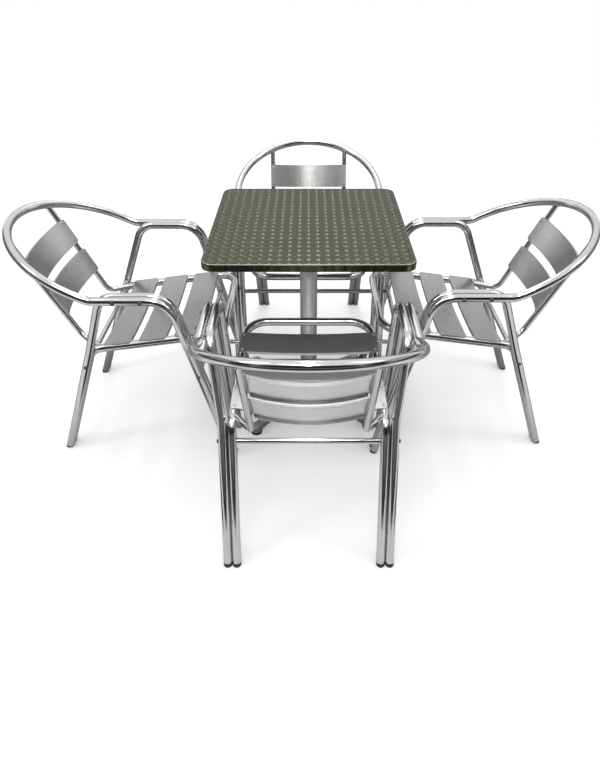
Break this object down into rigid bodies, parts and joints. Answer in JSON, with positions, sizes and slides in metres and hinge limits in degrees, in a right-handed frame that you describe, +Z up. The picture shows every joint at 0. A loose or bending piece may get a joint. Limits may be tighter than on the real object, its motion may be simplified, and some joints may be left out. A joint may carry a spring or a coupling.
{
  "type": "patio dining set",
  "caption": "Bistro dining set: square pedestal table with a patterned metal top and stacking tube armchairs with slatted seats and hooped backs round it.",
  "frame": {"origin": "on the floor, on the axis of the table's column", "axes": "+X to the right, +Y away from the viewer of the picture, +Z up"},
  "size_m": [1.7718, 1.5868, 0.7524],
  "materials": {
    "polished_tube": "polished tube",
    "brushed_slat": "brushed along its length",
    "engine_turned_steel": "engine turned",
    "pressed_board": "raw board",
    "bracket_paint": "powder coat",
    "column_aluminium": "satin extrusion",
    "cast_aluminium": "sand cast, satin",
    "steel_fastener": "zinc plated",
    "black_plastic": "moulded"
  },
  "bodies": {
    "table": {"table_top_skin": "engine_turned_steel", "table_board": "pressed_board", "table_bracket": "bracket_paint", "table_board_screws": "steel_fastener", "table_column": "column_aluminium", "table_tie_rod": "steel_fastener", "table_tie_washer": "steel_fastener", "table_tie_nut": "steel_fastener", "table_base": "cast_aluminium"},
    "near_chair": {"near_hoop_tube": "polished_tube", "near_side_frames": "polished_tube", "near_seat_frame": "polished_tube", "near_back_supports": "polished_tube", "near_back_slats": "brushed_slat", "near_seat_slats": "brushed_slat", "near_stretchers": "polished_tube", "near_seat_spacers": "polished_tube", "near_slat_rivets": "steel_fastener", "near_frame_bolts": "steel_fastener", "near_foot_plugs": "black_plastic"},
    "far_chair": {"far_hoop_tube": "polished_tube", "far_side_frames": "polished_tube", "far_seat_frame": "polished_tube", "far_back_supports": "polished_tube", "far_back_slats": "brushed_slat", "far_seat_slats": "brushed_slat", "far_stretchers": "polished_tube", "far_seat_spacers": "polished_tube", "far_slat_rivets": "steel_fastener", "far_frame_bolts": "steel_fastener", "far_foot_plugs": "black_plastic"},
    "left_chair": {"left_hoop_tube": "polished_tube", "left_side_frames": "polished_tube", "left_seat_frame": "polished_tube", "left_back_supports": "polished_tube", "left_back_slats": "brushed_slat", "left_seat_slats": "brushed_slat", "left_stretchers": "polished_tube", "left_seat_spacers": "polished_tube", "left_slat_rivets": "steel_fastener", "left_frame_bolts": "steel_fastener", "left_foot_plugs": "black_plastic"},
    "right_chair": {"right_hoop_tube": "polished_tube", "right_side_frames": "polished_tube", "right_seat_frame": "polished_tube", "right_back_supports": "polished_tube", "right_back_slats": "brushed_slat", "right_seat_slats": "brushed_slat", "right_stretchers": "polished_tube", "right_seat_spacers": "polished_tube", "right_slat_rivets": "steel_fastener", "right_frame_bolts": "steel_fastener", "right_foot_plugs": "black_plastic"},
    "far_right_glide": {"glide_far_right": "black_plastic"},
    "far_left_glide": {"glide_far_left": "black_plastic"},
    "near_left_glide": {"glide_near_left": "black_plastic"},
    "near_right_glide": {"glide_near_right": "black_plastic"}
  },
  "joints": [
    {"name": "left_chair_slide", "type": "slide", "parent": "table", "child": "left_chair", "axis": [-1, 0, 0], "range_m": [0, 0.45]},
    {"name": "right_chair_slide", "type": "slide", "parent": "table", "child": "right_chair", "axis": [1, 0, 0], "range_m": [0, 0.45]},
    {"name": "near_chair_slide", "type": "slide", "parent": "table", "child": "near_chair", "axis": [0, -1, 0], "range_m": [0, 0.27]},
    {"name": "far_chair_slide", "type": "slide", "parent": "table", "child": "far_chair", "axis": [0, 1, 0], "range_m": [0, 0.27]},
    {"name": "far_right_glide_screw", "type": "slide", "parent": "table", "child": "far_right_glide", "axis": [0, 0, 1], "range_m": [0, 0.005]},
    {"name": "far_left_glide_screw", "type": "slide", "parent": "table", "child": "far_left_glide", "axis": [0, 0, 1], "range_m": [0, 0.005]},
    {"name": "near_left_glide_screw", "type": "slide", "parent": "table", "child": "near_left_glide", "axis": [0, 0, 1], "range_m": [0, 0.005]},
    {"name": "near_right_glide_screw", "type": "slide", "parent": "table", "child": "near_right_glide", "axis": [0, 0, 1], "range_m": [0, 0.005]}
  ],
  "couplings": [
    {"joint": "right_chair_slide", "follows": "left_chair_slide", "ratio": 1},
    {"joint": "near_chair_slide", "follows": "left_chair_slide", "ratio": 0.6},
    {"joint": "far_chair_slide", "follows": "left_chair_slide", "ratio": 0.6}
  ]
}
